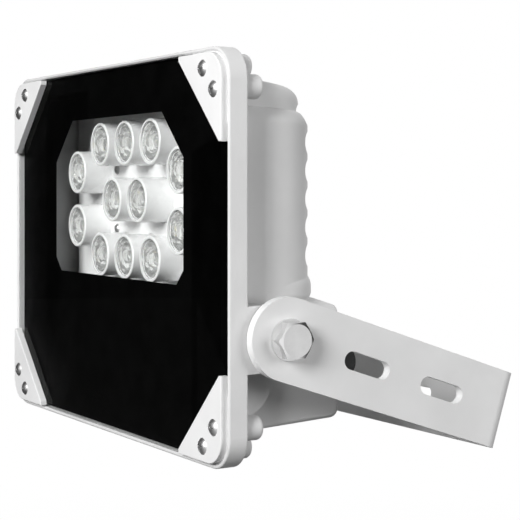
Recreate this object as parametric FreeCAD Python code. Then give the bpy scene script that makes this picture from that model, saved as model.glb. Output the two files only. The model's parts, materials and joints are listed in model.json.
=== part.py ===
import FreeCAD, Part
import math
import os

# LED floodlight on a U-shaped bracket.
# The head is drawn about the middle of its front rim: X to the right, Y to the back, Z up.
# The finished pieces are moved so that the origin is the middle of the bracket's back face,
# which is where the lamp is fixed. The head stands upright and the bracket slopes down behind it.
# All sizes are in millimetres.

# Front frame, the flange of the main casting
FRAME_W = 267.6
FRAME_H = 200.0
FRAME_T = 10.5
FRAME_CORNER_R = 16.0
FRAME_EDGE_R = 1.0
LIP_W = 1.9
LIP_BEVEL = 0.7

# Glass, black mask and gasket, from front to back
GLASS_SETBACK = 1.0
GLASS_T = 3.0
GLASS_EDGE_GAP = 0.4
MASK_T = 0.5
GASKET_T = 2.0
GASKET_W = 12.0
GASKET_EDGE_GAP = 1.5
CORNER_CUT = 35.5
CORNER_CUT_GAP = 0.6

# Clear window in the mask, an octagon above the middle of the frame
WINDOW_HALF_W = 81.0
WINDOW_RISE = 45.5
WINDOW_FALL = 42.2
WINDOW_TOP_CHAMFER = 23.7
WINDOW_BOTTOM_CHAMFER = 7.6

# Corner clamps and their screws
CLAMP_T = 3.8
CLAMP_INSET = 2.8
CLAMP_LEG = 42.6
CLAMP_TIP = 2.4
CLAMP_EDGE_R = 0.5
CLAMP_SCREW_NEAR = 10.2
CLAMP_SCREW_FAR = 20.6
SCREW_R = 2.0
SCREW_LENGTH = 18.0
SCREW_HEAD_R = 4.1
SCREW_HEAD_H = 1.9
SCREW_RECESS_SHARE = 0.62
SCREW_RECESS_W = 1.0
SCREW_RECESS_D = 1.2
THREAD_GAP = 0.05
BOSS_R = 6.0
BOSS_L = 10.6
BOSS_SHIFT = 1.6
BOSS_END_R = 2.2

# Main body behind the frame
WIDE_INSET = 13.8
WIDE_DROP = 26.2
WIDE_TOP_SLOPE = 2.8
LOBE_INSET = 22.6
LOBE_DROP = 10.1
LOBE_TOP_SLOPE = 7.4
BODY_CORNER_R = 27.0
BODY_TOP_R = 8.0
FIN_BACK_Y = 64.7
FIN_PITCH = 14.1
FIN_T = 3.0
FIN_TOP_DROP = 23.2
FLUTE_COUNT = 6
FLUTE_DEPTH = 9.6
DEEP_HALF_W = 92.0
DEEP_END_R = 14.0
SINK_WALL = 6.0
SILL_Z = -23.6
SILL_PROUD = 2.0
SILL_H = 15.5
SILL_TOP_R = 8.0
SILL_BOTTOM_R = 4.5
PAD_PROUD = 0.5
PAD_BACK_Y = 30.7
PAD_TOP_Z = 64.3
PAD_BOTTOM_Z = -76.0
PAD_TOP_R = 6.0
PAD_BOTTOM_R = 15.0
WALL_T = 4.0
CAVITY_CORNER_R = 8.0

# Driver chamber, the deeper lower part of the body
CHAMBER_INSET = 23.2
CHAMBER_BACK_Y = 77.5
CHAMBER_TOP_Y = 52.0
CHAMBER_TOP_Z = -18.8
CHAMBER_TOP_SLOPE = 17.6
CHAMBER_RISE = 13.2
CHAMBER_BOTTOM_SLOPE = 3.0
CHAMBER_R = 4.5

# Pivot of the head in the bracket
PIVOT_Y = 29.3
PIVOT_Z = -38.5
EAR_R = 15.9
EAR_SPOT_R = 15.0
EAR_SPOT_PROUD = 0.4
BOLT_R = 5.0
BOLT_L = 29.0
BOLT_HEAD_AF = 17.0
BOLT_HEAD_H = 6.4
BOLT_FACE_R = 7.8
BOLT_CHAMFER_SLOPE = 30.0
WASHER_R = 10.0
WASHER_T = 1.6
BOLT_HOLE_GAP = 0.25
BLIND_HOLE_EXTRA = 1.5

# U-shaped bracket of flat bar
BRACKET_SLOPE = 18.64
BAR_W = 40.0
BAR_T = 5.0
BRACKET_REACH = 143.0
BEND_R = 8.0
SLOT_W = 9.0
SLOT_L = 28.0
ARM_SLOT_NEAR = 48.0
ARM_SLOT_FAR = 96.5
WEB_SLOT_X = 66.0
WEB_HOLE_R = 6.5

# Light engine: LED board, white reflector plate, lens holders and lenses
LENS_PITCH_X = 31.7
LENS_PITCH_Z = 31.2
LENS_CENTRE_DROP = 73.5
HOLDER_R = 12.3
HOLDER_WALL = 1.5
HOLDER_FRONT_Y = 9.8
HOLDER_STEP = 0.8
HOLDER_STEP_DEPTH = 2.6
LENS_SETBACK = 0.8
LENS_GAP = 0.1
LENS_BACK_R = 4.6
LENS_LENGTH = 13.0
LENS_WAIST_SWELL = 0.8
LENS_POCKET_R = 3.4
LENS_POCKET_DEPTH = 4.5
CHIP_SIZE = 5.0
CHIP_T = 0.8
CHIP_DOME_R = 2.1
REFLECTOR_FRONT_Y = 26.4
REFLECTOR_T = 1.0
REFLECTOR_SIDE_GAP = 9.2
REFLECTOR_TOP_GAP = 4.0
REFLECTOR_FALL = 48.5
REFLECTOR_HOLE_GAP = 0.2
REFLECTOR_LIP = 5.0
REFLECTOR_SCREW_X = 43.0
REFLECTOR_SCREW_Z = 17.0
REFLECTOR_SCREW_L = 8.0
BOARD_GAP = 0.5
BOARD_T = 2.0
BOARD_MARGIN = 5.0
SMALL_SCREW_R = 1.5
SMALL_SCREW_HEAD_R = 2.8
SMALL_SCREW_HEAD_H = 1.6
SCREW_TIP_GAP = 0.5

# Driver, the sealed power supply in the chamber
DRIVER_GLAND_GAP = 26.0
DRIVER_H = 37.0
DRIVER_T = 31.0
DRIVER_GAP = 0.8
DRIVER_EDGE_R = 3.0
DRIVER_FOOT_W = 12.0
DRIVER_FOOT_T = 2.5
DRIVER_SCREW_L = 5.5

# Lead from the driver's top to the back of the LED board
LEAD_R = 1.5
LEAD_X = 40.0
LEAD_END_FALL = 42.5
LEAD_MIN_RISE = 8.0
LEAD_RUN = 22.0

# Cable gland in the chamber's back wall
GLAND_INSET = 26.6
GLAND_RISE = 28.1
GLAND_THREAD_R = 8.0
GLAND_COLLAR_AF = 22.0
GLAND_COLLAR_H = 5.0
GLAND_NECK_H = 5.0
GLAND_CAP_AF = 20.0
GLAND_CAP_H = 19.0
GLAND_CAP_HEX_H = 11.0
GLAND_BORE_R = 4.0
GLAND_SEAL_R = 6.0
GLAND_STUB_L = 9.0
GLAND_NOSE_STEP = 1.0
GLAND_END_WALL = 1.0
GLAND_END_T = 2.0
GLAND_MOUTH_GAP = 1.0
GLAND_SEAL_SETBACK = 1.0
LOCKNUT_AF = 20.0
LOCKNUT_H = 4.0

# How far a cut runs past a face, and how near counts as level when edges are picked
CUT_OVER = 1.0
LEVEL = 1e-3

# Places worked out from the sizes above
HALF_W = FRAME_W / 2
HALF_H = FRAME_H / 2
WIDE_HALF_W = HALF_W - WIDE_INSET
WIDE_TOP_Z = HALF_H - WIDE_DROP
LOBE_HALF_W = HALF_W - LOBE_INSET
LOBE_TOP_Z = HALF_H - LOBE_DROP
CHAMBER_HALF_W = HALF_W - CHAMBER_INSET
CHAMBER_BOTTOM_Z = -HALF_H + CHAMBER_RISE
BODY_FRONT_Y = FRAME_T / 2
LENS_CENTRE_Z = HALF_H - LENS_CENTRE_DROP
WINDOW_TOP_Z = LENS_CENTRE_Z + WINDOW_RISE
WINDOW_BOTTOM_Z = LENS_CENTRE_Z - WINDOW_FALL
FIN_TOP_Z = HALF_H - FIN_TOP_DROP
GLASS_BACK_Y = GLASS_SETBACK + GLASS_T
MASK_BACK_Y = GLASS_BACK_Y + MASK_T
SEAT_Y = MASK_BACK_Y + GASKET_T
FLUTE_R = FIN_PITCH / 2 - FIN_T / 2
CAVITY_HALF_W = LOBE_HALF_W - WALL_T
CAVITY_BOTTOM_Z = CHAMBER_BOTTOM_Z + WALL_T
LOWEST_FLUTE_Z = FIN_TOP_Z - FLUTE_COUNT * FIN_PITCH + FIN_T / 2
CHAMBER_FLOOR_Y = CHAMBER_BACK_Y - WALL_T
ARM_INNER_X = HALF_W + EAR_SPOT_PROUD
ARM_OUTER_X = ARM_INNER_X + BAR_T
BOARD_FRONT_Y = REFLECTOR_FRONT_Y + REFLECTOR_T + BOARD_GAP
BOARD_BACK_Y = BOARD_FRONT_Y + BOARD_T
SINK_Y = BOARD_BACK_Y + SINK_WALL
LOBE_FALL = (BOARD_BACK_Y - BODY_FRONT_Y) * math.tan(math.radians(LOBE_TOP_SLOPE))
CAVITY_TOP_Z = LOBE_TOP_Z - LOBE_FALL - WALL_T
REFLECTOR_HALF_W = CAVITY_HALF_W - REFLECTOR_SIDE_GAP
REFLECTOR_BOTTOM_Z = LENS_CENTRE_Z - REFLECTOR_FALL
CHAMBER_FALL = (CHAMBER_FLOOR_Y - BODY_FRONT_Y) * math.tan(math.radians(CHAMBER_BOTTOM_SLOPE))
DRIVER_BOTTOM_Z = CAVITY_BOTTOM_Z + CHAMBER_FALL + CHAMBER_R + DRIVER_GAP
DRIVER_TOP_Z = DRIVER_BOTTOM_Z + DRIVER_H
LEAD_END_Z = max(LENS_CENTRE_Z - LEAD_END_FALL, DRIVER_TOP_Z + LEAD_MIN_RISE)
GLAND_X = CHAMBER_HALF_W - GLAND_INSET
DRIVER_HALF_W = GLAND_X - DRIVER_GLAND_GAP
GLAND_Z = CHAMBER_BOTTOM_Z + GLAND_RISE
SLOPE = math.radians(BRACKET_SLOPE)
ORIGIN_Y = PIVOT_Y + BRACKET_REACH * math.cos(SLOPE)
ORIGIN_Z = PIVOT_Z - BRACKET_REACH * math.sin(SLOPE)

X_AXIS = FreeCAD.Vector(1, 0, 0)
Y_AXIS = FreeCAD.Vector(0, 1, 0)
Z_AXIS = FreeCAD.Vector(0, 0, 1)

# Lens places in steps of the pitch from the middle of the group
LENS_GRID = [(-1, 1), (0, 1), (1, 1), (-2, 0.5), (2, 0.5), (-0.5, 0), (0.5, 0),
             (-2, -0.5), (2, -0.5), (-1, -1), (0, -1), (1, -1)]
LENS_PLACES = [(i * LENS_PITCH_X, LENS_CENTRE_Z + k * LENS_PITCH_Z) for i, k in LENS_GRID]
REFLECTOR_SCREW_PLACES = [(side * REFLECTOR_SCREW_X, LENS_CENTRE_Z + half * REFLECTOR_SCREW_Z)
                          for side in (-1, 1) for half in (-1, 1)]


def vec(x, y, z):
    return FreeCAD.Vector(x, y, z)


def block(x0, x1, y0, y1, z0, z1):
    return Part.makeBox(x1 - x0, y1 - y0, z1 - z0, vec(x0, y0, z0))


def round_bar(axis, r, start, length):
    return Part.makeCylinder(r, length, start, axis)


def bar_y(x, z, r, y0, y1):
    return round_bar(Y_AXIS, r, vec(x, y0, z), y1 - y0)


def hexagon_bar(axis, across_flats, start, length, turn=0.0):
    """Six-sided bar along X or Y; turn is the angle of its first corner in degrees."""
    corner_r = across_flats / math.sqrt(3)
    corners = []
    for n in range(6):
        a = math.radians(turn + 60 * n)
        u, w = corner_r * math.cos(a), corner_r * math.sin(a)
        corners.append(start + (vec(0, u, w) if axis is X_AXIS else vec(u, 0, w)))
    face = Part.Face(Part.makePolygon(corners + corners[:1]))
    return face.extrude(axis * length)


def outline_face(points, place):
    """Face from 2-D points; a point is (u, w) or (u, w, r) where r rounds that corner."""
    count = len(points)
    spots = []
    for n in range(count):
        here = points[n]
        u, w = here[0], here[1]
        r = here[2] if len(here) > 2 else 0.0
        if r <= 0:
            spots.append((u, w))
            continue
        before, after = points[n - 1], points[(n + 1) % count]
        au, aw = before[0] - u, before[1] - w
        bu, bw = after[0] - u, after[1] - w
        la, lb = math.hypot(au, aw), math.hypot(bu, bw)
        au, aw, bu, bw = au / la, aw / la, bu / lb, bw / lb
        half = math.acos(max(-1.0, min(1.0, au * bu + aw * bw))) / 2
        cut = r / math.tan(half)
        mu, mw = au + bu, aw + bw
        lm = math.hypot(mu, mw)
        reach = r / math.sin(half) - r
        first = (u + au * cut, w + aw * cut)
        middle = (u + mu / lm * reach, w + mw / lm * reach)
        last = (u + bu * cut, w + bw * cut)
        spots.append((first, middle, last))
    edges = []
    for n in range(count):
        spot, following = spots[n], spots[(n + 1) % count]
        if isinstance(spot[0], tuple):
            edges.append(Part.Arc(place(*spot[0]), place(*spot[1]), place(*spot[2])).toShape())
        leave = spot[2] if isinstance(spot[0], tuple) else spot
        arrive = following[0] if isinstance(following[0], tuple) else following
        a, b = place(*leave), place(*arrive)
        if (b - a).Length > 1e-6:
            edges.append(Part.LineSegment(a, b).toShape())
    return Part.Face(Part.Wire(edges))


def plate_y(points, y0, y1):
    """Plate whose outline is drawn in X and Z and which runs from y0 to y1."""
    return outline_face(points, lambda u, w: vec(u, y0, w)).extrude(Y_AXIS * (y1 - y0))


def prism_x(points, half_w):
    """Prism whose outline is drawn in Y and Z and which runs across the whole width."""
    return outline_face(points, lambda u, w: vec(-half_w, u, w)).extrude(X_AXIS * (2 * half_w))


def rectangle(half_w, bottom, top, r=0.0):
    return [(-half_w, bottom, r), (half_w, bottom, r), (half_w, top, r), (-half_w, top, r)]


def cut_rectangle(half_w, half_h, cut):
    """Rectangle with its four corners cut off at 45 degrees."""
    return [(-half_w + cut, -half_h), (half_w - cut, -half_h), (half_w, -half_h + cut),
            (half_w, half_h - cut), (half_w - cut, half_h), (-half_w + cut, half_h),
            (-half_w, half_h - cut), (-half_w, -half_h + cut)]


def window_outline(grow=0.0):
    half_w, top, bottom = WINDOW_HALF_W + grow, WINDOW_TOP_Z + grow, WINDOW_BOTTOM_Z - grow
    return [(-half_w + WINDOW_BOTTOM_CHAMFER, bottom), (half_w - WINDOW_BOTTOM_CHAMFER, bottom),
            (half_w, bottom + WINDOW_BOTTOM_CHAMFER), (half_w, top - WINDOW_TOP_CHAMFER),
            (half_w - WINDOW_TOP_CHAMFER, top), (-half_w + WINDOW_TOP_CHAMFER, top),
            (-half_w, top - WINDOW_TOP_CHAMFER), (-half_w, bottom + WINDOW_BOTTOM_CHAMFER)]


def turned_y(x, z, section):
    """Solid of revolution about a line along Y through x, z; section is a list of (r, y)."""
    points = [vec(x + r, y, z) for r, y in section]
    face = Part.Face(Part.makePolygon(points + points[:1]))
    return face.revolve(vec(x, 0, z), Y_AXIS, 360)


def edges_at(shape, test):
    return [e for e in shape.Edges if test(e.BoundBox)]


def mirrored(shape):
    return shape.mirror(vec(0, 0, 0), X_AXIS)


def fused(shapes):
    return shapes[0].multiFuse(shapes[1:]).removeSplitter()


def clamp_screw_places():
    near, far = CLAMP_SCREW_NEAR, CLAMP_SCREW_FAR
    places = []
    for sx in (-1, 1):
        for sz in (-1, 1):
            places.append((sx * (HALF_W - near), sz * (HALF_H - far)))
            places.append((sx * (HALF_W - far), sz * (HALF_H - near)))
    return places


# Main casting

def frame_flange():
    flange = plate_y(rectangle(HALF_W, -HALF_H, HALF_H, FRAME_CORNER_R), 0, FRAME_T)
    rim = edges_at(flange, lambda b: b.YLength < LEVEL)
    return flange.makeFillet(FRAME_EDGE_R, rim)


def front_recess():
    """Cutters for the seat of the glass, the corner lands under the clamps and the lip's bevel."""
    seat = plate_y(cut_rectangle(HALF_W - LIP_W, HALF_H - LIP_W, CORNER_CUT), -CUT_OVER, SEAT_Y)

    def inside(lip):
        return rectangle(HALF_W - lip, -HALF_H + lip, HALF_H - lip, FRAME_CORNER_R - lip)

    def rim(lip, y):
        return outline_face(inside(lip), lambda u, w: vec(u, y, w)).OuterWire

    lands = plate_y(inside(LIP_W), -CUT_OVER, GLASS_SETBACK)
    bevel = Part.makeLoft([rim(LIP_W - LIP_BEVEL - CUT_OVER, -CUT_OVER), rim(LIP_W, LIP_BEVEL)], True)
    return [seat, lands, bevel]


def fin_profile():
    """Side view that trims the body's back into fins: round roots between them and round tips."""
    tip = FIN_T / 2
    tip_y = FIN_BACK_Y - tip
    root_y = FIN_BACK_Y - FLUTE_DEPTH
    over = LOBE_TOP_Z + WALL_T
    bend = tip * (1 - math.sqrt(0.5))
    edges = []

    def line(a, b):
        edges.append(Part.LineSegment(vec(0, *a), vec(0, *b)).toShape())

    def arc(a, m, b):
        edges.append(Part.Arc(vec(0, *a), vec(0, *m), vec(0, *b)).toShape())

    z = FIN_TOP_Z
    line((BODY_FRONT_Y, over), (FIN_BACK_Y, over))
    line((FIN_BACK_Y, over), (FIN_BACK_Y, z))
    arc((FIN_BACK_Y, z), (FIN_BACK_Y - bend, z - tip + bend), (tip_y, z - tip))
    for n in range(FLUTE_COUNT):
        upper, lower = z - tip, z - FIN_PITCH + tip
        line((tip_y, upper), (root_y + FLUTE_R, upper))
        arc((root_y + FLUTE_R, upper), (root_y, z - FIN_PITCH / 2), (root_y + FLUTE_R, lower))
        line((root_y + FLUTE_R, lower), (tip_y, lower))
        z -= FIN_PITCH
        if n < FLUTE_COUNT - 1:
            arc((tip_y, z + tip), (FIN_BACK_Y, z), (tip_y, z - tip))
    arc((tip_y, z + tip), (FIN_BACK_Y - bend, z + tip - bend), (FIN_BACK_Y, z))
    line((FIN_BACK_Y, z), (FIN_BACK_Y, SILL_Z))
    line((FIN_BACK_Y, SILL_Z), (BODY_FRONT_Y, SILL_Z))
    line((BODY_FRONT_Y, SILL_Z), (BODY_FRONT_Y, over))
    return Part.Face(Part.Wire(edges))


def plan_block(half_w, back, bottom, top):
    """Block with its two upright back edges rounded, which gives the body its bowed sides."""
    points = [(-half_w, BODY_FRONT_Y), (half_w, BODY_FRONT_Y), (half_w, back, BODY_CORNER_R),
              (-half_w, back, BODY_CORNER_R)]
    face = outline_face(points, lambda u, w: vec(u, w, bottom))
    return face.extrude(Z_AXIS * (top - bottom))


def domed_block(half_w, top, slope):
    """Plan block whose top slopes down to the back and rounds over into the sides and the back."""
    fall = (FIN_BACK_Y - BODY_FRONT_Y) * math.tan(math.radians(slope))
    over = top + BODY_TOP_R
    wedge = prism_x([(BODY_FRONT_Y - CUT_OVER, top), (BODY_FRONT_Y, top), (FIN_BACK_Y, top - fall),
                     (FIN_BACK_Y + CUT_OVER, top - fall), (FIN_BACK_Y + CUT_OVER, over),
                     (BODY_FRONT_Y - CUT_OVER, over)], half_w + CUT_OVER)
    solid = plan_block(half_w, FIN_BACK_Y, SILL_Z, over).cut(wedge)
    rim = edges_at(solid, lambda b: b.ZMin > top - fall - LEVEL and b.YMax > BODY_FRONT_Y + LEVEL)
    return solid.makeFillet(BODY_TOP_R, rim)


def deep_slots():
    """Cutters that take the flutes down to the wall behind the LED board, with swept ends."""
    back = FIN_BACK_Y + CUT_OVER
    run = back - SINK_Y
    points = [(-DEEP_HALF_W, back), (-DEEP_HALF_W + run, SINK_Y, DEEP_END_R),
              (DEEP_HALF_W - run, SINK_Y, DEEP_END_R), (DEEP_HALF_W, back)]
    slots = []
    for n in range(FLUTE_COUNT):
        bottom = LOWEST_FLUTE_Z + n * FIN_PITCH
        face = outline_face(points, lambda u, w: vec(u, w, bottom))
        slots.append(face.extrude(Z_AXIS * (2 * FLUTE_R)))
    return slots


def sill():
    """Thicker band below the fins, level with the top of the driver chamber."""
    back, top = FIN_BACK_Y + SILL_PROUD, SILL_Z + SILL_H
    band = plan_block(WIDE_HALF_W, back, SILL_Z, top)
    upper = edges_at(band, lambda b: b.ZMin > top - LEVEL and b.YMax > back - BODY_CORNER_R + CUT_OVER)
    band = band.makeFillet(SILL_TOP_R, upper)
    lower = edges_at(band, lambda b: b.ZMax < SILL_Z + LEVEL and b.YMax > BODY_FRONT_Y + LEVEL)
    return band.makeFillet(SILL_BOTTOM_R, lower)


def finned_body():
    side = fin_profile()
    side.translate(vec(-WIDE_HALF_W, 0, 0))
    bar = side.extrude(X_AXIS * (2 * WIDE_HALF_W))
    blocks = domed_block(WIDE_HALF_W, WIDE_TOP_Z, WIDE_TOP_SLOPE)
    blocks = blocks.fuse(domed_block(LOBE_HALF_W, LOBE_TOP_Z, LOBE_TOP_SLOPE))
    return bar.common(blocks).fuse(sill())


def chamber_profile(inset):
    """Side view of the driver chamber, drawn inset millimetres inside its outer face."""
    top_slope, bottom_slope = math.radians(CHAMBER_TOP_SLOPE), math.radians(CHAMBER_BOTTOM_SLOPE)
    back = CHAMBER_BACK_Y - inset
    drop = inset / math.cos(top_slope)
    lift = inset / math.cos(bottom_slope)
    top_back = CHAMBER_TOP_Z - (back - CHAMBER_TOP_Y) * math.tan(top_slope) - drop
    front = BODY_FRONT_Y
    bottom_back = CHAMBER_BOTTOM_Z + (back - front) * math.tan(bottom_slope) + lift
    bottom_front = CHAMBER_BOTTOM_Z + lift
    front_top = CHAMBER_TOP_Z - drop
    r = CHAMBER_R
    return [(front, bottom_front), (back, bottom_back, r), (back, top_back, r),
            (CHAMBER_TOP_Y, front_top), (front, front_top)]


def chamber_body():
    body = prism_x(chamber_profile(0), CHAMBER_HALF_W)
    ends = edges_at(body, lambda b: b.XLength < LEVEL and b.YMax > CHAMBER_TOP_Y + CUT_OVER)
    return body.makeFillet(CHAMBER_R / 2, ends)


def side_pads():
    points = [(BODY_FRONT_Y, PAD_BOTTOM_Z), (PAD_BACK_Y, PAD_BOTTOM_Z, PAD_BOTTOM_R),
              (PAD_BACK_Y, PAD_TOP_Z, PAD_TOP_R), (BODY_FRONT_Y, PAD_TOP_Z)]
    return prism_x(points, WIDE_HALF_W + PAD_PROUD)


def clamp_bosses():
    bosses = []
    for x, z in clamp_screw_places():
        x, z = x + math.copysign(BOSS_SHIFT, x), z + math.copysign(BOSS_SHIFT, z)
        boss = bar_y(x, z, BOSS_R, BODY_FRONT_Y, FRAME_T + BOSS_L)
        tip = edges_at(boss, lambda b: b.YMin > FRAME_T + BOSS_L - LEVEL)
        bosses.append(boss.makeFillet(BOSS_END_R, tip))
    return bosses


def ear():
    """Pivot ear on the right side, level with the frame's side, with a spot face for the arm."""
    outline = [(BODY_FRONT_Y, PIVOT_Z - EAR_R), (PIVOT_Y, PIVOT_Z - EAR_R),
               (PIVOT_Y, PIVOT_Z + EAR_R), (BODY_FRONT_Y, PIVOT_Z + EAR_R)]
    root_x = CAVITY_HALF_W + WALL_T
    arm = outline_face(outline, lambda u, w: vec(root_x, u, w)).extrude(X_AXIS * (HALF_W - root_x))
    nose = round_bar(X_AXIS, EAR_R, vec(root_x, PIVOT_Y, PIVOT_Z), HALF_W - root_x)
    spot = round_bar(X_AXIS, EAR_SPOT_R, vec(HALF_W - CUT_OVER, PIVOT_Y, PIVOT_Z), CUT_OVER + EAR_SPOT_PROUD)
    return fused([arm, nose, spot])


def cavity():
    """Hollow of the casting: shallow behind the glass, deep below the fins for the driver."""
    shallow = plate_y(rectangle(CAVITY_HALF_W, CAVITY_BOTTOM_Z, CAVITY_TOP_Z, CAVITY_CORNER_R),
                      0, BOARD_BACK_Y)
    middle = block(-CAVITY_HALF_W + CAVITY_CORNER_R, CAVITY_HALF_W - CAVITY_CORNER_R, 0,
                   FIN_BACK_Y - WALL_T, SILL_Z - WALL_T, LOWEST_FLUTE_Z - WALL_T)
    lower = prism_x(chamber_profile(WALL_T), CAVITY_HALF_W)
    lower = lower.common(block(-CAVITY_HALF_W, CAVITY_HALF_W, 0, CHAMBER_BACK_Y,
                               CAVITY_BOTTOM_Z, SILL_Z - WALL_T))
    return [shallow, middle, lower]


def bolt_hole(side):
    depth = BOLT_L - BAR_T - WASHER_T + BLIND_HOLE_EXTRA
    start = vec(side * (ARM_INNER_X + CUT_OVER), PIVOT_Y, PIVOT_Z)
    return round_bar(X_AXIS * -side, BOLT_R + THREAD_GAP, start, depth + CUT_OVER)


def housing():
    right_ear = ear()
    body = fused([frame_flange(), finned_body(), chamber_body(), side_pads(),
                  right_ear, mirrored(right_ear)] + clamp_bosses())
    cuts = front_recess() + cavity() + deep_slots() + [bolt_hole(1), bolt_hole(-1)]
    for x, z in clamp_screw_places():
        cuts.append(bar_y(x, z, SCREW_R + THREAD_GAP, -CUT_OVER, FRAME_T + BOSS_L - BOSS_END_R))
    cuts.append(bar_y(GLAND_X, GLAND_Z, GLAND_THREAD_R + THREAD_GAP, CHAMBER_FLOOR_Y - CUT_OVER,
                      CHAMBER_BACK_Y + CUT_OVER))
    screw_hole_r = SMALL_SCREW_R + THREAD_GAP
    for x, z in driver_screw_places():
        tip_y = CHAMBER_FLOOR_Y - DRIVER_FOOT_T + DRIVER_SCREW_L
        cuts.append(bar_y(x, z, screw_hole_r, CHAMBER_FLOOR_Y - CUT_OVER, tip_y + SCREW_TIP_GAP))
    for x, z in REFLECTOR_SCREW_PLACES:
        tip_y = REFLECTOR_FRONT_Y + REFLECTOR_SCREW_L
        cuts.append(bar_y(x, z, screw_hole_r, BOARD_BACK_Y - CUT_OVER, tip_y + SCREW_TIP_GAP))
    return body.cut(fused(cuts))


# Glass, mask, gasket and clamps

def glass_outline(gap):
    cut = CORNER_CUT + CORNER_CUT_GAP * math.sqrt(2) - gap * (2 - math.sqrt(2))
    return cut_rectangle(HALF_W - LIP_W - gap, HALF_H - LIP_W - gap, cut)


def front_glass():
    return plate_y(glass_outline(GLASS_EDGE_GAP), GLASS_SETBACK, GLASS_BACK_Y)


def mask_film():
    sheet = plate_y(glass_outline(GLASS_EDGE_GAP), GLASS_BACK_Y, MASK_BACK_Y)
    return sheet.cut(plate_y(window_outline(), GLASS_BACK_Y - CUT_OVER, MASK_BACK_Y + CUT_OVER))


def glass_gasket():
    outer = plate_y(glass_outline(GASKET_EDGE_GAP), MASK_BACK_Y, SEAT_Y)
    inner = plate_y(glass_outline(GASKET_EDGE_GAP + GASKET_W), MASK_BACK_Y - CUT_OVER, SEAT_Y + CUT_OVER)
    return outer.cut(inner)


def corner_clamp(sx, sz):
    """Three-cornered plate over one corner of the glass, with flat tips and a round outer corner."""
    edge_x, edge_z = HALF_W - CLAMP_INSET, HALF_H - CLAMP_INSET
    points = [(edge_x, edge_z, FRAME_CORNER_R - CLAMP_INSET),
              (edge_x - CLAMP_LEG, edge_z), (edge_x - CLAMP_LEG, edge_z - CLAMP_TIP),
              (edge_x - CLAMP_TIP, edge_z - CLAMP_LEG), (edge_x, edge_z - CLAMP_LEG)]
    placed = [(sx * p[0], sz * p[1]) + tuple(p[2:]) for p in points]
    front_y = GLASS_SETBACK - CLAMP_T
    plate = plate_y(placed, front_y, GLASS_SETBACK)
    plate = plate.makeFillet(CLAMP_EDGE_R, edges_at(plate, lambda b: b.YMax < front_y + LEVEL))
    for x, z in clamp_screw_places():
        if x * sx > 0 and z * sz > 0:
            hole = bar_y(x, z, SCREW_R + THREAD_GAP, front_y - CUT_OVER, GLASS_SETBACK + CUT_OVER)
            plate = plate.cut(hole)
    return plate


def pan_screw(x, z, seat_y, length, r, head_r, head_h):
    """Screw along Y with a domed head in front of seat_y and a cross recess in it."""
    dome_r = (head_r * head_r + head_h * head_h) / (2 * head_h)
    ball = Part.makeSphere(dome_r, vec(x, seat_y - head_h + dome_r, z))
    head = ball.common(bar_y(x, z, head_r, seat_y - head_h - CUT_OVER, seat_y))
    shank = bar_y(x, z, r, seat_y, seat_y + length)
    reach, half = head_r * SCREW_RECESS_SHARE, SCREW_RECESS_W / 2
    y0, y1 = seat_y - head_h - CUT_OVER, seat_y - head_h + SCREW_RECESS_D
    cross = fused([block(x - reach, x + reach, y0, y1, z - half, z + half),
                   block(x - half, x + half, y0, y1, z - reach, z + reach)])
    return fused([head, shank]).cut(cross)


def clamp_screws():
    seat_y = GLASS_SETBACK - CLAMP_T
    return [pan_screw(x, z, seat_y, SCREW_LENGTH, SCREW_R, SCREW_HEAD_R, SCREW_HEAD_H)
            for x, z in clamp_screw_places()]


# Light engine

def led_board():
    xs = [x for x, z in LENS_PLACES]
    zs = [z for x, z in LENS_PLACES]
    margin = HOLDER_R + BOARD_MARGIN
    outline = [(min(xs) - margin, min(zs) - margin), (max(xs) + margin, min(zs) - margin),
               (max(xs) + margin, max(zs) + margin), (min(xs) - margin, max(zs) + margin)]
    board = plate_y(outline, BOARD_FRONT_Y, BOARD_BACK_Y)
    holes = [bar_y(x, z, SMALL_SCREW_R + THREAD_GAP, BOARD_FRONT_Y - CUT_OVER, BOARD_BACK_Y + CUT_OVER)
             for x, z in REFLECTOR_SCREW_PLACES]
    return board.cut(fused(holes))


def led_chip(x, z):
    half = CHIP_SIZE / 2
    base = block(x - half, x + half, BOARD_FRONT_Y - CHIP_T, BOARD_FRONT_Y, z - half, z + half)
    dome = Part.makeSphere(CHIP_DOME_R, vec(x, BOARD_FRONT_Y - CHIP_T, z))
    dome = dome.common(block(x - half, x + half, BOARD_FRONT_Y - CHIP_T - CHIP_DOME_R,
                             BOARD_FRONT_Y - CHIP_T / 2, z - half, z + half))
    return fused([base, dome])


def reflector_plate():
    y0, y1 = REFLECTOR_FRONT_Y, REFLECTOR_FRONT_Y + REFLECTOR_T
    half_w, bottom = REFLECTOR_HALF_W, REFLECTOR_BOTTOM_Z
    sheet = block(-half_w, half_w, y0, y1, bottom, CAVITY_TOP_Z - REFLECTOR_TOP_GAP)
    lip = block(-half_w, half_w, y0 - REFLECTOR_LIP, y1, bottom, bottom + REFLECTOR_T)
    holes = [bar_y(x, z, HOLDER_R + REFLECTOR_HOLE_GAP, y0 - CUT_OVER, y1 + CUT_OVER)
             for x, z in LENS_PLACES]
    holes += [bar_y(x, z, SMALL_SCREW_R + THREAD_GAP, y0 - CUT_OVER, y1 + CUT_OVER)
              for x, z in REFLECTOR_SCREW_PLACES]
    return fused([sheet, lip]).cut(fused(holes))


def reflector_screws():
    """Screws that hold the reflector plate and the LED board to the casting."""
    return [pan_screw(x, z, REFLECTOR_FRONT_Y, REFLECTOR_SCREW_L, SMALL_SCREW_R,
                      SMALL_SCREW_HEAD_R, SMALL_SCREW_HEAD_H) for x, z in REFLECTOR_SCREW_PLACES]


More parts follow.
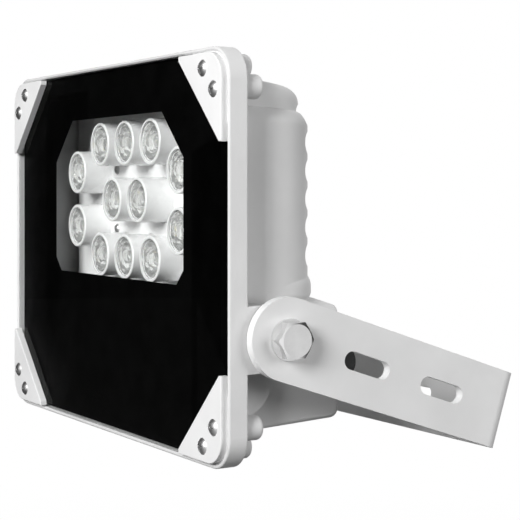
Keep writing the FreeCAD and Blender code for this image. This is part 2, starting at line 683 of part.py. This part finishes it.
def lens_holder(x, z):
    bore = HOLDER_R - HOLDER_WALL
    front, back = HOLDER_FRONT_Y, BOARD_FRONT_Y
    step_y = front + HOLDER_STEP_DEPTH
    rim = HOLDER_WALL / 4
    return turned_y(x, z, [(bore, front), (HOLDER_R - rim, front), (HOLDER_R, front + rim),
                           (HOLDER_R, back), (bore - HOLDER_STEP, back),
                           (bore - HOLDER_STEP, step_y), (bore, step_y)])


def lens(x, z):
    """Collimating lens: a thin round front on a deep cone with a pocket for the LED."""
    front = HOLDER_FRONT_Y + LENS_SETBACK
    shelf_y = HOLDER_FRONT_Y + HOLDER_STEP_DEPTH
    rim_r = HOLDER_R - HOLDER_WALL - LENS_GAP
    cone_r = rim_r - HOLDER_STEP - LENS_GAP
    back = front + LENS_LENGTH
    waist_y = (shelf_y + back) / 2
    waist_r = (cone_r + LENS_BACK_R) / 2 + LENS_WAIST_SWELL
    return turned_y(x, z, [(0, front), (rim_r, front), (rim_r, shelf_y), (cone_r, shelf_y),
                           (waist_r, waist_y), (LENS_BACK_R, back), (LENS_POCKET_R, back),
                           (LENS_POCKET_R, back - LENS_POCKET_DEPTH), (0, back - LENS_POCKET_DEPTH)])


# Driver and its lead

def driver_screw_places():
    x = DRIVER_HALF_W + DRIVER_FOOT_W / 2
    return [(side * x, DRIVER_BOTTOM_Z + DRIVER_H / 2) for side in (-1, 1)]


def driver():
    back = CHAMBER_FLOOR_Y
    case = block(-DRIVER_HALF_W, DRIVER_HALF_W, back - DRIVER_T, back, DRIVER_BOTTOM_Z, DRIVER_TOP_Z)
    case = case.makeFillet(DRIVER_EDGE_R, edges_at(case, lambda b: b.YMax < back - CUT_OVER))
    foot_reach = DRIVER_HALF_W + DRIVER_FOOT_W
    foot_z0, foot_z1 = DRIVER_TOP_Z - DRIVER_H * 0.7, DRIVER_TOP_Z - DRIVER_H * 0.3
    feet = block(-foot_reach, foot_reach, back - DRIVER_FOOT_T, back, foot_z0, foot_z1)
    holes = [bar_y(x, z, SMALL_SCREW_R + THREAD_GAP, back - DRIVER_FOOT_T - CUT_OVER, back + CUT_OVER)
             for x, z in driver_screw_places()]
    return fused([case, feet]).cut(fused(holes))


def driver_screws():
    return [pan_screw(x, z, CHAMBER_FLOOR_Y - DRIVER_FOOT_T, DRIVER_SCREW_L, SMALL_SCREW_R,
                      SMALL_SCREW_HEAD_R, SMALL_SCREW_HEAD_H) for x, z in driver_screw_places()]


def board_lead():
    """Lead that leaves the driver's top, turns forward and ends on the back of the LED board."""
    y, z, top = BOARD_BACK_Y + LEAD_RUN, DRIVER_TOP_Z, LEAD_END_Z
    r = 0.45 * min(top - z, LEAD_RUN)
    turn = r * (1 - math.sqrt(0.5))
    up_end, level_start = vec(LEAD_X, y, top - r), vec(LEAD_X, y - r, top)
    path = Part.Wire([Part.LineSegment(vec(LEAD_X, y, z), up_end).toShape(),
                      Part.Arc(up_end, vec(LEAD_X, y - turn, top - turn), level_start).toShape(),
                      Part.LineSegment(level_start, vec(LEAD_X, BOARD_BACK_Y, top)).toShape()])
    ring = Part.Wire([Part.makeCircle(LEAD_R, vec(LEAD_X, y, z), Z_AXIS)])
    return path.makePipeShell([ring], True, False)


# Cable gland

def gland_body():
    y = CHAMBER_BACK_Y
    collar = hexagon_bar(Y_AXIS, GLAND_COLLAR_AF, vec(GLAND_X, y, GLAND_Z), GLAND_COLLAR_H)
    stub = bar_y(GLAND_X, GLAND_Z, GLAND_THREAD_R, y - GLAND_STUB_L, y + CUT_OVER)
    neck = bar_y(GLAND_X, GLAND_Z, GLAND_THREAD_R, y, y + GLAND_COLLAR_H + GLAND_NECK_H)
    bore = bar_y(GLAND_X, GLAND_Z, GLAND_SEAL_R, y - GLAND_STUB_L - CUT_OVER,
                 y + GLAND_COLLAR_H + GLAND_NECK_H + CUT_OVER)
    return fused([collar, stub, neck]).cut(bore)


def gland_cap():
    """Tightening cap: a hexagon next to the collar, then a tapered round nose."""
    y = CHAMBER_BACK_Y + GLAND_COLLAR_H
    hexagon = hexagon_bar(Y_AXIS, GLAND_CAP_AF, vec(GLAND_X, y, GLAND_Z), GLAND_CAP_HEX_H)
    nose_r = GLAND_CAP_AF / 2 - GLAND_NOSE_STEP
    end_r = GLAND_SEAL_R + GLAND_END_WALL
    nose = Part.makeCone(nose_r, end_r, GLAND_CAP_H - GLAND_CAP_HEX_H,
                         vec(GLAND_X, y + GLAND_CAP_HEX_H, GLAND_Z), Y_AXIS)
    thread = bar_y(GLAND_X, GLAND_Z, GLAND_THREAD_R + THREAD_GAP, y - CUT_OVER, y + GLAND_NECK_H)
    bore = bar_y(GLAND_X, GLAND_Z, GLAND_SEAL_R, y - CUT_OVER, y + GLAND_CAP_H - GLAND_END_T)
    mouth = bar_y(GLAND_X, GLAND_Z, GLAND_BORE_R + GLAND_MOUTH_GAP, y, y + GLAND_CAP_H + CUT_OVER)
    return fused([hexagon, nose]).cut(fused([thread, bore, mouth]))


def gland_seal():
    y0 = CHAMBER_BACK_Y + GLAND_SEAL_SETBACK
    y1 = CHAMBER_BACK_Y + GLAND_COLLAR_H + GLAND_CAP_H - GLAND_END_T
    sleeve = bar_y(GLAND_X, GLAND_Z, GLAND_SEAL_R - THREAD_GAP, y0, y1)
    return sleeve.cut(bar_y(GLAND_X, GLAND_Z, GLAND_BORE_R, y0 - CUT_OVER, y1 + CUT_OVER))


def gland_locknut():
    y = CHAMBER_FLOOR_Y - LOCKNUT_H
    nut = hexagon_bar(Y_AXIS, LOCKNUT_AF, vec(GLAND_X, y, GLAND_Z), LOCKNUT_H)
    hole_r = GLAND_THREAD_R + THREAD_GAP
    return nut.cut(bar_y(GLAND_X, GLAND_Z, hole_r, y - CUT_OVER, y + LOCKNUT_H + CUT_OVER))


# Bracket, bolts and washers

def slot(centre, along, through):
    """Round-ended slot cutter of the bracket's slot size, through the bar."""
    half = (SLOT_L - SLOT_W) / 2
    depth = through * (2 * BAR_T)
    start = centre - through * BAR_T
    ends = [round_bar(through, SLOT_W / 2, start + along * (s * half), 2 * BAR_T) for s in (-1, 1)]
    across = along.cross(through) * (SLOT_W / 2)
    a, b = start - along * half, start + along * half
    face = Part.Face(Part.makePolygon([a - across, b - across, b + across, a + across, a - across]))
    return fused([face.extrude(depth)] + ends)


def bracket():
    """U of flat bar, drawn with its arms along Y from the pivot, then sloped down to the back."""
    half_bar = BAR_W / 2
    outer, inner = ARM_OUTER_X, ARM_INNER_X
    inner_r = BEND_R - BAR_T
    points = [(-outer, -half_bar), (-inner, -half_bar), (-inner, BRACKET_REACH - BAR_T, inner_r),
              (inner, BRACKET_REACH - BAR_T, inner_r), (inner, -half_bar), (outer, -half_bar),
              (outer, BRACKET_REACH, BEND_R), (-outer, BRACKET_REACH, BEND_R)]
    bar = outline_face(points, lambda u, w: vec(u, w, -half_bar)).extrude(Z_AXIS * BAR_W)
    side = fused([round_bar(X_AXIS, half_bar, vec(-outer, 0, 0), 2 * outer),
                  block(-outer, outer, 0, BRACKET_REACH, -half_bar, half_bar)])
    bar = bar.common(side)
    cuts = [round_bar(X_AXIS, BOLT_R + BOLT_HOLE_GAP, vec(-outer - CUT_OVER, 0, 0), 2 * (outer + CUT_OVER)),
            round_bar(Y_AXIS, WEB_HOLE_R, vec(0, BRACKET_REACH - 2 * BAR_T, 0), 3 * BAR_T)]
    for side_x in (-1, 1):
        arm_x = side_x * (inner + BAR_T / 2)
        for place in (ARM_SLOT_NEAR, ARM_SLOT_FAR):
            cuts.append(slot(vec(arm_x, place, 0), Y_AXIS, X_AXIS))
        cuts.append(slot(vec(side_x * WEB_SLOT_X, BRACKET_REACH - BAR_T / 2, 0), X_AXIS, Y_AXIS))
    for cut in cuts:
        bar = bar.cut(cut)
    bar.rotate(vec(0, 0, 0), X_AXIS, -BRACKET_SLOPE)
    bar.translate(vec(0, PIVOT_Y, PIVOT_Z))
    return bar


def pivot_bolt():
    seat_x = ARM_OUTER_X + WASHER_T
    start = vec(seat_x, PIVOT_Y, PIVOT_Z)
    head = hexagon_bar(X_AXIS, BOLT_HEAD_AF, start, BOLT_HEAD_H)
    spread = BOLT_HEAD_H / math.tan(math.radians(BOLT_CHAMFER_SLOPE))
    head = head.common(Part.makeCone(BOLT_FACE_R + spread, BOLT_FACE_R, BOLT_HEAD_H, start, X_AXIS))
    shank = round_bar(X_AXIS * -1, BOLT_R, start, BOLT_L)
    return fused([head, shank])


def flat_washer():
    start = vec(ARM_OUTER_X, PIVOT_Y, PIVOT_Z)
    disc = round_bar(X_AXIS, WASHER_R, start, WASHER_T)
    hole_l = WASHER_T + 2 * CUT_OVER
    return disc.cut(round_bar(X_AXIS, BOLT_R + BOLT_HOLE_GAP, start - X_AXIS * CUT_OVER, hole_l))


# Writing the pieces

def save(name, shape):
    solids = shape if isinstance(shape, list) else [shape]
    moved = []
    for solid in solids:
        copy = solid.copy()
        copy.translate(vec(0, -ORIGIN_Y, -ORIGIN_Z))
        moved.append(copy)
    piece = Part.makeCompound(moved) if len(moved) > 1 else moved[0]
    piece.exportStep("parts/" + name + ".step")


def main():
    os.makedirs("parts", exist_ok=True)
    save("housing", housing())
    save("front_glass", front_glass())
    save("mask_film", mask_film())
    save("glass_gasket", glass_gasket())
    for name, sx, sz in (("top_right", 1, 1), ("top_left", -1, 1),
                         ("bottom_right", 1, -1), ("bottom_left", -1, -1)):
        save("clamp_" + name, corner_clamp(sx, sz))
    save("clamp_screws", clamp_screws())
    save("led_board", led_board())
    save("led_chips", [led_chip(x, z) for x, z in LENS_PLACES])
    save("reflector_plate", reflector_plate())
    save("reflector_screws", reflector_screws())
    for n, (x, z) in enumerate(LENS_PLACES, start=1):
        save("lens_holder_%02d" % n, lens_holder(x, z))
        save("lens_%02d" % n, lens(x, z))
    save("driver", driver())
    save("driver_screws", driver_screws())
    save("board_lead", board_lead())
    save("gland_body", gland_body())
    save("gland_cap", gland_cap())
    save("gland_seal", gland_seal())
    save("gland_locknut", gland_locknut())
    save("bracket", bracket())
    bolt, washer = pivot_bolt(), flat_washer()
    save("pivot_bolt_right", bolt)
    save("pivot_bolt_left", mirrored(bolt))
    save("flat_washer_right", washer)
    save("flat_washer_left", mirrored(washer))


main()
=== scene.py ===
import json
import math

import bmesh
import bpy
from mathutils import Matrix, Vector


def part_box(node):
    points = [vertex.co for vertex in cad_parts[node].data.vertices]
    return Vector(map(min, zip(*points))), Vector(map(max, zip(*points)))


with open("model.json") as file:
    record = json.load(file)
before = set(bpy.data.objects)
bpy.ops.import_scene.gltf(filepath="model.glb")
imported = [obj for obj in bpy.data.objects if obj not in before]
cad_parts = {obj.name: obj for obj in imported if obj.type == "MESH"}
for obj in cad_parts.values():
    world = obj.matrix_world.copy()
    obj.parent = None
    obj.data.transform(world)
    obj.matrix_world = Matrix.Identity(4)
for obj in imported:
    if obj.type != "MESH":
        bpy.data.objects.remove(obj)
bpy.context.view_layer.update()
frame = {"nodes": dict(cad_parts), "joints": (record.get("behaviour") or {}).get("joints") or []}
nodes = frame["nodes"]
scene = bpy.context.scene

# The head is drawn in the source about the middle of its front rim. HEAD is that point in the
# row frame, in metres, measured from the tilt joint's height and depth.
RIM_FROM_TILT = Vector((0.0, -0.0293, 0.0385))
TILT = Vector(frame["joints"][0]["pos_m"])
HEAD = Vector((0.0, TILT.y, TILT.z)) + RIM_FROM_TILT

# Camera, fitted to the photograph: place from HEAD and near clip in metres, turn in degrees,
# lens and sensor in mm, shift in widths of the picture
CAMERA_PLACE = Vector((0.6937, -0.3203, 0.0327))
CAMERA_TURN = 58.376
CAMERA_LENS = 96.31
CAMERA_SENSOR = 36.0
CAMERA_SHIFT = (-0.0269, -0.1377)
CAMERA_CLIP = 0.01

# Lamps, all aimed at HEAD: turn from straight in front towards +X and rise, in degrees, distance
# and size in metres, power in watts. Only the key shows in mirrors.
LAMPS = {
    "key": (29.0, 22.0, 2.0, 0.8, 48.0),
    "side": (128.0, 12.0, 1.8, 0.9, 15.5),
    "front": (6.0, 12.0, 1.8, 0.5, 5.0),
    "back": (205.0, 42.0, 1.8, 0.9, 11.0),
    "left": (258.0, 20.0, 1.8, 0.9, 11.0),
}
MIRRORED_LAMP = "key"
AMBIENT = 0.015

# What mirrors see, by the way they look. As that way's X to either side, its Y, its Z or its
# likeness to FLAG_WAY goes from the first number to the second, the light they see is
# multiplied by the third to the fourth.
FLAG_WAY = (-0.80, -0.58, 0.0)
SIDE_FADE = (0.3, 0.75, 0.1, 1.0)
BACK_FADE = (-0.2, 0.3, 1.0, 0.76)
LOW_FADE = (-0.4, -0.15, 0.12, 1.0)
FLAG_FADE = (0.35, 0.75, 1.0, 0.003)

# Floor: a disc below HEAD, in metres. The share of plain white in what the eye sees of it goes
# from the first to the second of FLOOR_WHITE between the distances in FLOOR_REACH.
FLOOR_DROP = 0.34
FLOOR_RADIUS = 4.0
FLOOR_SIDES = 96
FLOOR_GREYS = (0.84, 0.87)
FLOOR_BOUNCE = 0.02
FLOOR_WHITE = (0.9, 1.0)
FLOOR_REACH = (0.2, 1.0)

# Noise, in features per metre: colour, roughness and relief of each kind of surface
COAT_NOISE = (26.0, 60.0, 1500.0)
ZINC_NOISE = (90.0, 260.0, 240.0)
MOULD_NOISE = (70.0, 110.0, 1200.0)
LED_NOISE = (700.0, 400.0)
LENS_NOISE = (300.0, 500.0)
PANE_NOISE = 14.0
FLOOR_NOISE = (3.0, 8.0)

# Roughness from low to high where a kind of surface has only one, and relief in metres
COAT_ROUGH = (0.36, 0.5)
LED_ROUGH = (0.12, 0.25)
LENS_ROUGH = (0.0, 0.03)
PANE_ROUGH = (0.015, 0.03)
FLOOR_ROUGH = (0.75, 0.85)
ZINC_WAVE = 0.00002
MOULD_GRAIN = 0.00002
SOFT_GRAIN = 0.00005

LED_YELLOWS = ((0.75, 0.66, 0.3), (0.86, 0.78, 0.42))
LENS_TINTS = ((0.62, 0.625, 0.62), (0.71, 0.715, 0.71))
PANE_TINT = (0.983, 0.987, 0.985)

# Facets on the lens backs: cells per metre, relief, and where they begin and are full, all in
# metres behind the lens's front face
FACET_CELLS = 210.0
FACET_DEPTH = 0.0016
FACETS_BEGIN = 0.0006
FACETS_FULL = 0.0012


# Node trees

class Tree:
    """A material's node tree, with short calls for the few nodes used here."""

    def __init__(self, name):
        self.material = bpy.data.materials.new(name)
        self.material.use_nodes = True
        self.nodes = self.material.node_tree.nodes
        self.links = self.material.node_tree.links
        self.shader = self.nodes["Principled BSDF"]
        self.place = self.nodes.new("ShaderNodeTexCoord").outputs["Object"]

    def set(self, **values):
        """Set the shader's own sockets; an underscore stands for a space in a name."""
        for key, value in values.items():
            self.shader.inputs[key.replace("_", " ")].default_value = value
        return self

    def link(self, source, target):
        """Link to a socket, or to the shader's socket of that name."""
        self.links.new(source, self.shader.inputs[target] if isinstance(target, str) else target)

    def show(self, shader):
        self.link(shader, self.nodes["Material Output"].inputs["Surface"])

    def noise(self, scale, detail=3.0):
        node = self.nodes.new("ShaderNodeTexNoise")
        node.inputs["Scale"].default_value = scale
        node.inputs["Detail"].default_value = detail
        self.link(self.place, node.inputs["Vector"])
        return node.outputs["Fac"]

    def ramp(self, source, low, high, from_low=0.3, from_high=0.7):
        """Colour that goes from low to high as source goes from from_low to from_high."""
        node = self.nodes.new("ShaderNodeValToRGB")
        ends = node.color_ramp.elements
        for end, at, colour in ((ends[0], from_low, low), (ends[1], from_high, high)):
            end.position = at
            end.color = (*colour, 1)
        self.link(source, node.inputs["Fac"])
        return node.outputs["Color"]

    def greys(self, source, low, high):
        return self.ramp(source, grey(low), grey(high), from_low=0.35, from_high=0.65)

    def span(self, source, low, high, from_low=0.3, from_high=0.7):
        """Number that goes from low to high as source goes from from_low to from_high."""
        node = self.nodes.new("ShaderNodeMapRange")
        for key, value in (("From Min", from_low), ("From Max", from_high),
                           ("To Min", low), ("To Max", high)):
            node.inputs[key].default_value = value
        self.link(source, node.inputs["Value"])
        return node.outputs["Result"]

    def bump(self, height, distance, strength=None):
        node = self.nodes.new("ShaderNodeBump")
        node.inputs["Distance"].default_value = distance
        node.inputs["Strength"].default_value = 1.0
        if strength is not None:
            self.link(strength, node.inputs["Strength"])
        self.link(height, node.inputs["Height"])
        self.link(node.outputs["Normal"], "Normal")


def grey(value):
    return (value, value, value)


def math_node(tree, operation, a, b):
    """Result of a two-value sum; a and b are sockets or numbers."""
    node = tree.nodes.new("ShaderNodeMath")
    node.operation = operation
    for value, target in ((a, node.inputs[0]), (b, node.inputs[1])):
        if isinstance(value, (int, float)):
            target.default_value = value
        else:
            tree.links.new(value, target)
    return node.outputs["Value"]


def mix_shaders(tree, share, first, second):
    """Shader that goes from first to second as share goes from 0 to 1."""
    node = tree.nodes.new("ShaderNodeMixShader")
    for source, target in zip((share, first, second), node.inputs):
        tree.links.new(source, target)
    return node.outputs["Shader"]


# Materials

def powder_coat(name, greys, tooth):
    """Sprayed polyester coat: fine orange peel, faint cloudiness and a soft sheen."""
    cloud, haze, peel = COAT_NOISE
    t = Tree(name).set(IOR=1.5, Specular_IOR_Level=0.35)
    t.link(t.greys(t.noise(cloud), *greys), "Base Color")
    t.link(t.span(t.noise(haze), *COAT_ROUGH), "Roughness")
    t.bump(t.noise(peel, detail=2.0), tooth)
    return t.material


def zinc(name, greys, rough):
    """Bright zinc plating: a mirror with faint waves and a little haze, sharp or soft by rough."""
    cloud, haze, wave = ZINC_NOISE
    t = Tree(name).set(Metallic=1.0)
    t.link(t.greys(t.noise(cloud), *greys), "Base Color")
    t.link(t.span(t.noise(haze), *rough), "Roughness")
    t.bump(t.noise(wave, detail=2.0), ZINC_WAVE)
    return t.material


def moulded(name, greys, rough, tooth=MOULD_GRAIN, gloss=0.5):
    """Moulded plastic, rubber, film or lacquer, with a fine grain unless tooth is 0."""
    cloud, haze, grain = MOULD_NOISE
    t = Tree(name).set(IOR=1.48, Specular_IOR_Level=gloss)
    t.link(t.greys(t.noise(cloud), *greys), "Base Color")
    t.link(t.span(t.noise(haze), *rough), "Roughness")
    if tooth:
        t.bump(t.noise(grain, detail=2.0), tooth)
    return t.material


def led_yellow(name):
    """Glossy silicone dome with phosphor in it."""
    cloud, haze = LED_NOISE
    t = Tree(name).set(IOR=1.45)
    t.link(t.ramp(t.noise(cloud), *LED_YELLOWS), "Base Color")
    t.link(t.span(t.noise(haze), *LED_ROUGH), "Roughness")
    return t.material


def pane(name, sheen_ior):
    """Flat clear pane: see-through straight on, with a mirror reflection that grows at a glance."""
    t = Tree(name)
    t.nodes.remove(t.shader)
    clear = t.nodes.new("ShaderNodeBsdfTransparent")
    clear.inputs["Color"].default_value = (*PANE_TINT, 1)
    gloss = t.nodes.new("ShaderNodeBsdfGlossy")
    t.link(t.span(t.noise(PANE_NOISE), *PANE_ROUGH), gloss.inputs["Roughness"])
    fresnel = t.nodes.new("ShaderNodeFresnel")
    fresnel.inputs["IOR"].default_value = sheen_ior
    inside = t.nodes.new("ShaderNodeNewGeometry").outputs["Backfacing"]
    outside = math_node(t, "SUBTRACT", 1.0, inside)
    share = math_node(t, "MULTIPLY", fresnel.outputs["Fac"], outside)
    t.show(mix_shaders(t, share, clear.outputs["BSDF"], gloss.outputs["BSDF"]))
    return t.material


def lens_clear(name):
    """Clear moulded acrylic, a little milky, with a faceted back. Shadow rays pass through it."""
    cloud, haze = LENS_NOISE
    t = Tree(name).set(IOR=1.49, Transmission_Weight=0.82)
    t.link(t.ramp(t.noise(cloud), *LENS_TINTS), "Base Color")
    t.link(t.span(t.noise(haze), *LENS_ROUGH), "Roughness")
    cells = t.nodes.new("ShaderNodeTexVoronoi")
    cells.inputs["Scale"].default_value = FACET_CELLS
    t.link(t.place, cells.inputs["Vector"])
    split = t.nodes.new("ShaderNodeSeparateXYZ")
    t.link(t.place, split.inputs["Vector"])
    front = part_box("lens_01")[0][1]
    behind = t.span(split.outputs["Y"], 0.0, 1.0, front + FACETS_BEGIN, front + FACETS_FULL)
    t.bump(cells.outputs["Distance"], FACET_DEPTH, behind)
    lamp_ray = t.nodes.new("ShaderNodeLightPath").outputs["Is Shadow Ray"]
    open_way = t.nodes.new("ShaderNodeBsdfTransparent").outputs["BSDF"]
    t.show(mix_shaders(t, lamp_ray, t.shader.outputs["BSDF"], open_way))
    return t.material


body_coat = powder_coat("body_coat", greys=(0.66, 0.72), tooth=0.00004)
clamp_coat = powder_coat("clamp_coat", greys=(0.78, 0.84), tooth=0.00002)
bar_coat = powder_coat("bar_coat", greys=(0.72, 0.78), tooth=0.00003)
zinc_steel = zinc("zinc_steel", greys=(0.74, 0.82), rough=(0.05, 0.1))
screw_steel = zinc("screw_steel", greys=(0.5, 0.58), rough=(0.4, 0.5))
white_plate = moulded("white_plate", greys=(0.88, 0.92), rough=(0.12, 0.22))
white_plastic = moulded("white_plastic", greys=(0.89, 0.93), rough=(0.22, 0.34))
black_mask = moulded("black_mask", greys=(0.0015, 0.0025), rough=(0.3, 0.4), tooth=0.0, gloss=0.02)
black_plastic = moulded("black_plastic", greys=(0.02, 0.03), rough=(0.35, 0.5), tooth=SOFT_GRAIN)
black_rubber = moulded("black_rubber", greys=(0.015, 0.025), rough=(0.6, 0.75), tooth=SOFT_GRAIN)
driver_case = moulded("driver_case", greys=(0.4, 0.46), rough=(0.35, 0.5))
board_white = moulded("board_white", greys=(0.6, 0.68), rough=(0.4, 0.5))
clear_glass = pane("clear_pane", sheen_ior=1.15)
lens_material = lens_clear("lens_clear")
led_material = led_yellow("led_phosphor")

MATERIALS = {
    "housing": body_coat, "bracket": bar_coat, "front_glass": clear_glass,
    "mask_film": black_mask, "glass_gasket": black_rubber, "clamp_screws": screw_steel,
    "led_board": board_white, "led_chips": led_material, "reflector_plate": white_plate,
    "reflector_screws": screw_steel, "driver": driver_case, "driver_screws": zinc_steel,
    "board_lead": black_rubber, "gland_body": black_plastic, "gland_cap": black_plastic,
    "gland_seal": black_rubber, "gland_locknut": black_plastic,
    "pivot_bolt_right": zinc_steel, "pivot_bolt_left": zinc_steel,
    "flat_washer_right": zinc_steel, "flat_washer_left": zinc_steel,
}
# Nodes that aren't named above, by how their names begin
MATERIALS_BY_START = {"lens_holder": white_plastic, "lens_": lens_material, "clamp_": clamp_coat}


def material_for(name):
    if name in MATERIALS:
        return MATERIALS[name]
    return next(m for start, m in MATERIALS_BY_START.items() if name.startswith(start))


def dress_nodes():
    for name, node in nodes.items():
        node.data.materials.clear()
        node.data.materials.append(material_for(name))


# Studio: floor, world, lamps and camera

def mirrored_studio(tree, place):
    """What mirrors see towards place: white at both sides, dim elsewhere, black at the flag."""
    way = tree.nodes.new("ShaderNodeVectorMath")
    way.operation = "NORMALIZE"
    tree.links.new(place, way.inputs[0])
    split = tree.nodes.new("ShaderNodeSeparateXYZ")
    tree.links.new(way.outputs["Vector"], split.inputs["Vector"])
    to_flag = tree.nodes.new("ShaderNodeVectorMath")
    to_flag.operation = "DOT_PRODUCT"
    to_flag.inputs[1].default_value = FLAG_WAY
    tree.links.new(way.outputs["Vector"], to_flag.inputs[0])
    light = 1.0
    for value, fade in (
        (math_node(tree, "ABSOLUTE", split.outputs["X"], 0.0), SIDE_FADE),
        (split.outputs["Y"], BACK_FADE),
        (split.outputs["Z"], LOW_FADE),
        (to_flag.outputs["Value"], FLAG_FADE),
    ):
        node = tree.nodes.new("ShaderNodeMapRange")
        node.interpolation_type = "SMOOTHSTEP"
        for key, number in zip(("From Min", "From Max", "To Min", "To Max"), fade):
            node.inputs[key].default_value = number
        tree.links.new(value, node.inputs["Value"])
        light = math_node(tree, "MULTIPLY", light, node.outputs["Result"])
    return light


def mirror_ray(tree, path):
    """1 for a ray that a mirror or clear piece sends on, else 0."""
    return math_node(tree, "MAXIMUM", path["Is Glossy Ray"], path["Is Transmission Ray"])


def floor_material():
    """Pale floor for the eye, dark to what it lights, and the mirrored studio to mirrors."""
    t = Tree("floor_white")
    path = t.nodes.new("ShaderNodeLightPath").outputs
    cloud, haze = FLOOR_NOISE
    tone = t.nodes.new("ShaderNodeMix")
    tone.data_type = "RGBA"
    tone.inputs["A"].default_value = (*grey(FLOOR_BOUNCE), 1)
    t.link(path["Is Camera Ray"], tone.inputs["Factor"])
    t.link(t.greys(t.noise(cloud), *FLOOR_GREYS), tone.inputs["B"])
    t.link(tone.outputs["Result"], "Base Color")
    t.link(t.span(t.noise(haze), *FLOOR_ROUGH), "Roughness")
    length = t.nodes.new("ShaderNodeVectorMath")
    length.operation = "LENGTH"
    t.link(t.place, length.inputs[0])
    white = t.span(length.outputs["Value"], *FLOOR_WHITE, *FLOOR_REACH)
    seen = math_node(t, "MULTIPLY", white, path["Is Camera Ray"])
    mirrored = math_node(t, "MULTIPLY", mirror_ray(t, path), mirrored_studio(t, t.place))
    glow = t.nodes.new("ShaderNodeEmission")
    glow.inputs["Strength"].default_value = 1.0
    share = math_node(t, "MAXIMUM", seen, mirrored)
    t.show(mix_shaders(t, share, t.shader.outputs["BSDF"], glow.outputs["Emission"]))
    return t.material


def add_floor():
    mesh = bpy.data.meshes.new("studio_floor")
    bm = bmesh.new()
    bmesh.ops.create_circle(bm, cap_ends=True, segments=FLOOR_SIDES, radius=FLOOR_RADIUS)
    bm.to_mesh(mesh)
    bm.free()
    mesh.materials.append(floor_material())
    floor = bpy.data.objects.new("studio_floor", mesh)
    scene.collection.objects.link(floor)
    floor.location = HEAD + Vector((0, 0, -FLOOR_DROP))


def add_world():
    """White for the eye, the mirrored studio for mirrors, and a low light for the rest."""
    world = bpy.data.worlds.new("studio")
    scene.world = world
    world.use_nodes = True
    tree = world.node_tree
    low = tree.nodes["Background"]
    low.inputs["Color"].default_value = (*grey(AMBIENT), 1)
    white = tree.nodes.new("ShaderNodeBackground")
    white.inputs["Color"].default_value = (*grey(1.0), 1)
    walls = tree.nodes.new("ShaderNodeBackground")
    way = tree.nodes.new("ShaderNodeTexCoord").outputs["Generated"]
    tree.links.new(mirrored_studio(tree, way), walls.inputs["Color"])
    path = tree.nodes.new("ShaderNodeLightPath").outputs
    shader = low.outputs["Background"]
    for share, back in ((mirror_ray(tree, path), walls), (path["Is Camera Ray"], white)):
        shader = mix_shaders(tree, share, shader, back.outputs["Background"])
    tree.links.new(shader, tree.nodes["World Output"].inputs["Surface"])


def add_lamp(name, turn, rise, distance, size, power):
    """Square soft lamp; a turn of 0 is straight in front of the glass, and 90 is at +X."""
    a, e = math.radians(turn), math.radians(rise)
    way = Vector((math.sin(a) * math.cos(e), -math.cos(a) * math.cos(e), math.sin(e)))
    light = bpy.data.lights.new(name, "AREA")
    light.size = size
    light.energy = power
    lamp = bpy.data.objects.new(name, light)
    scene.collection.objects.link(lamp)
    lamp.location = HEAD + way * distance
    lamp.rotation_euler = way.to_track_quat("Z", "Y").to_euler()
    lamp.visible_glossy = name == MIRRORED_LAMP


def add_camera():
    data = bpy.data.cameras.new("photo_camera")
    data.lens = CAMERA_LENS
    data.sensor_width = CAMERA_SENSOR
    data.shift_x, data.shift_y = CAMERA_SHIFT
    data.clip_start = CAMERA_CLIP
    camera = bpy.data.objects.new("photo_camera", data)
    scene.collection.objects.link(camera)
    camera.location = HEAD + CAMERA_PLACE
    camera.rotation_euler = (math.radians(90), 0, math.radians(CAMERA_TURN))
    scene.camera = camera


dress_nodes()
add_floor()
add_world()
for name, values in LAMPS.items():
    add_lamp(name, *values)
add_camera()
scene.view_settings.view_transform = "Standard"
